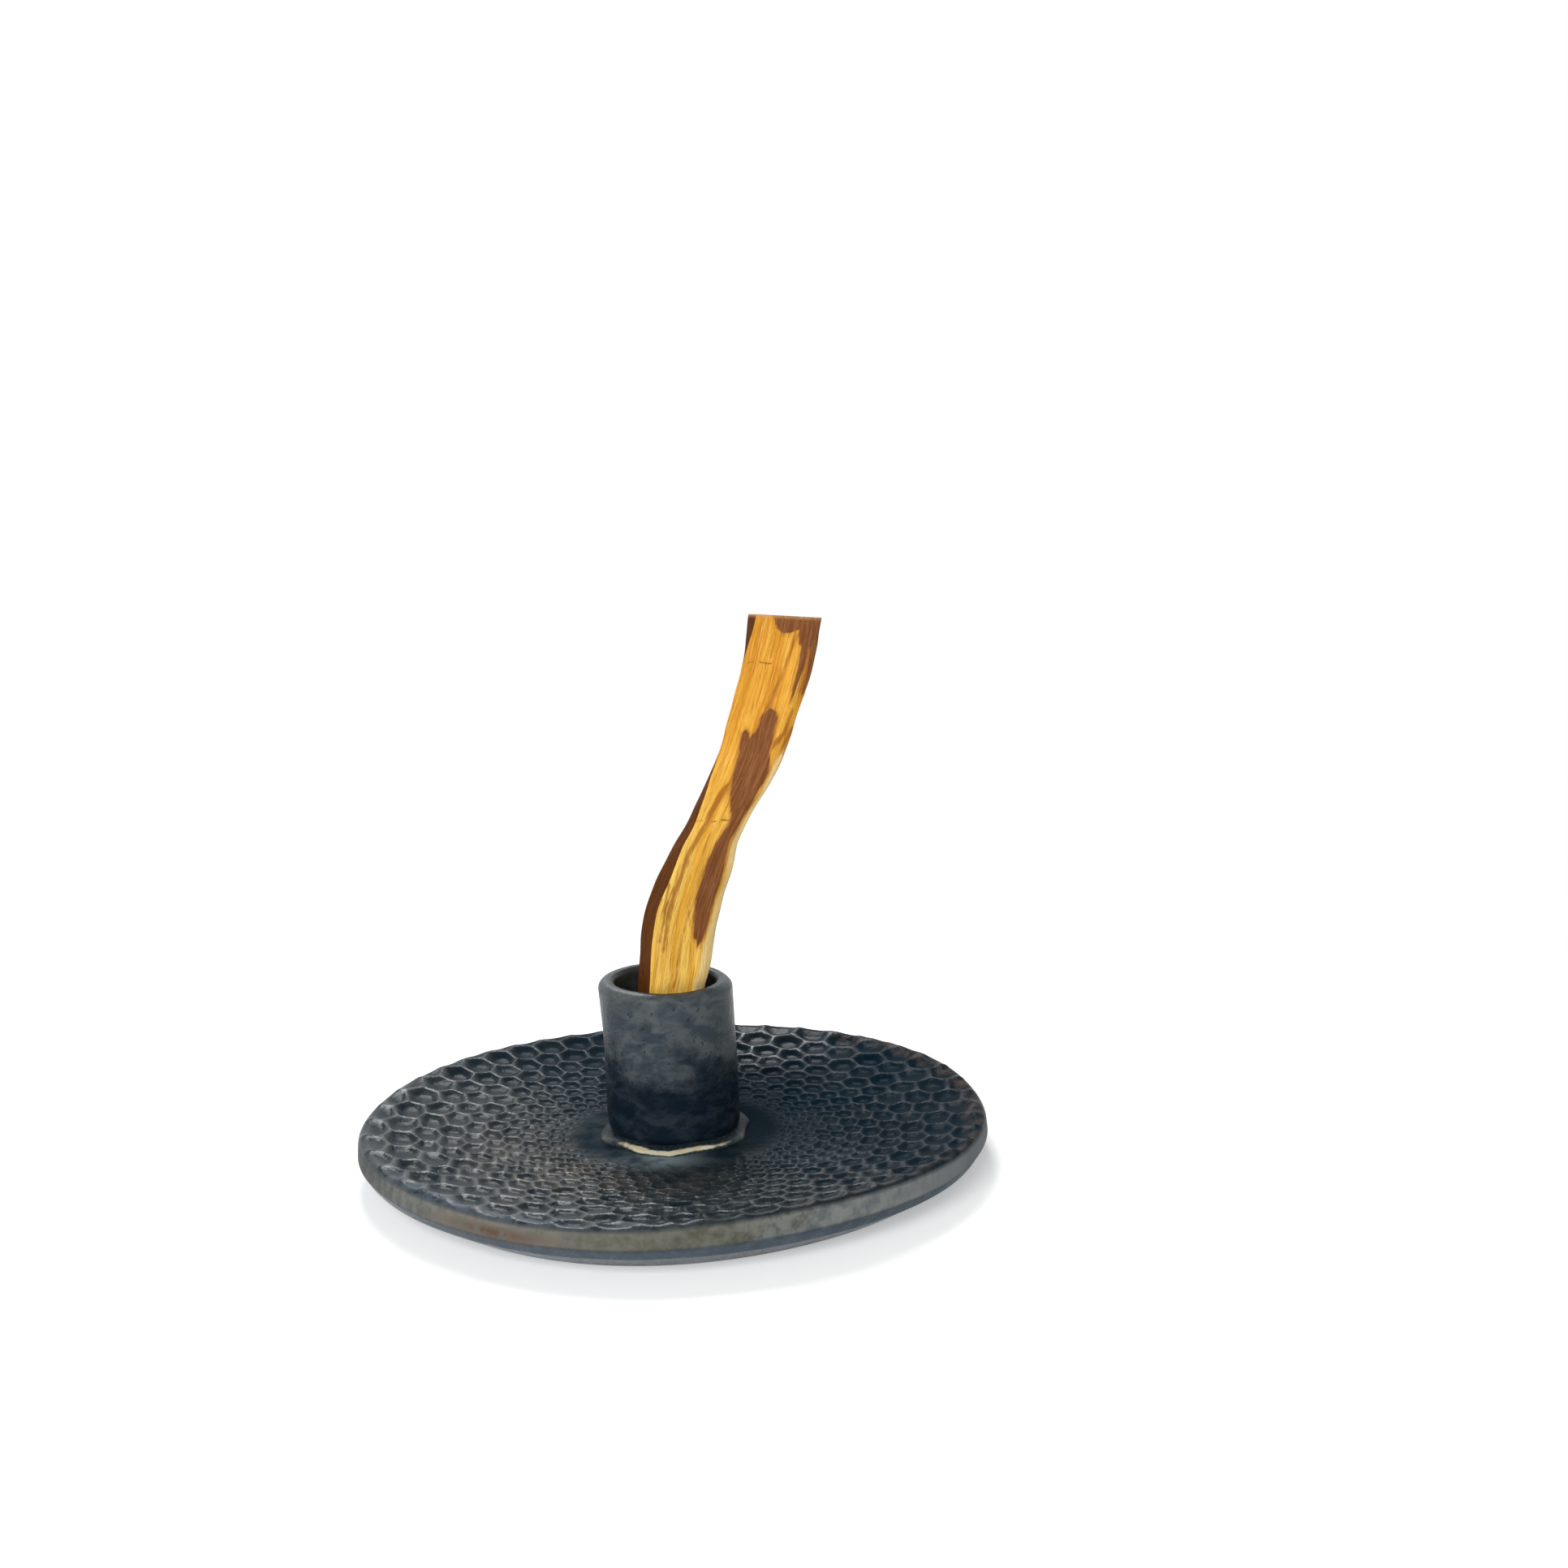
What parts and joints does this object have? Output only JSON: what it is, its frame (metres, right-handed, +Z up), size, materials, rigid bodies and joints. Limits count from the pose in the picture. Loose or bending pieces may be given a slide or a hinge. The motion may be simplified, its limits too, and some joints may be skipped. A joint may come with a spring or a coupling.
{
  "type": "incense burner",
  "caption": "Round stoneware incense dish with a honeycomb-pressed well and a central open cup that holds an upright, S-bent stick of incense wood.",
  "frame": {"origin": "centre of the dish's foot, on the cup's axis, in the plane that the dish stands on", "axes": "+Z up along the cup's axis; the picture looks roughly along +Y, with +X to its right"},
  "size_m": [0.1262, 0.1262, 0.1086],
  "materials": {
    "dish_glaze": "satin black glaze, brown where it breaks over edges",
    "cup_glaze": "smoky satin charcoal glaze",
    "slip_glaze": "shiny pooled glaze, pearly",
    "stick_wood": "raw split wood with dark resin streaks"
  },
  "bodies": {
    "burner": {"dish": "dish_glaze", "holder_cup": "cup_glaze", "slip_bead": "slip_glaze"},
    "stick": {"palo_santo_stick": "stick_wood"}
  },
  "joints": [
    {"name": "stick_lift", "type": "slide", "parent": "burner", "child": "stick", "axis": [0, 0, 1], "range_m": [0, 0.06]}
  ]
}
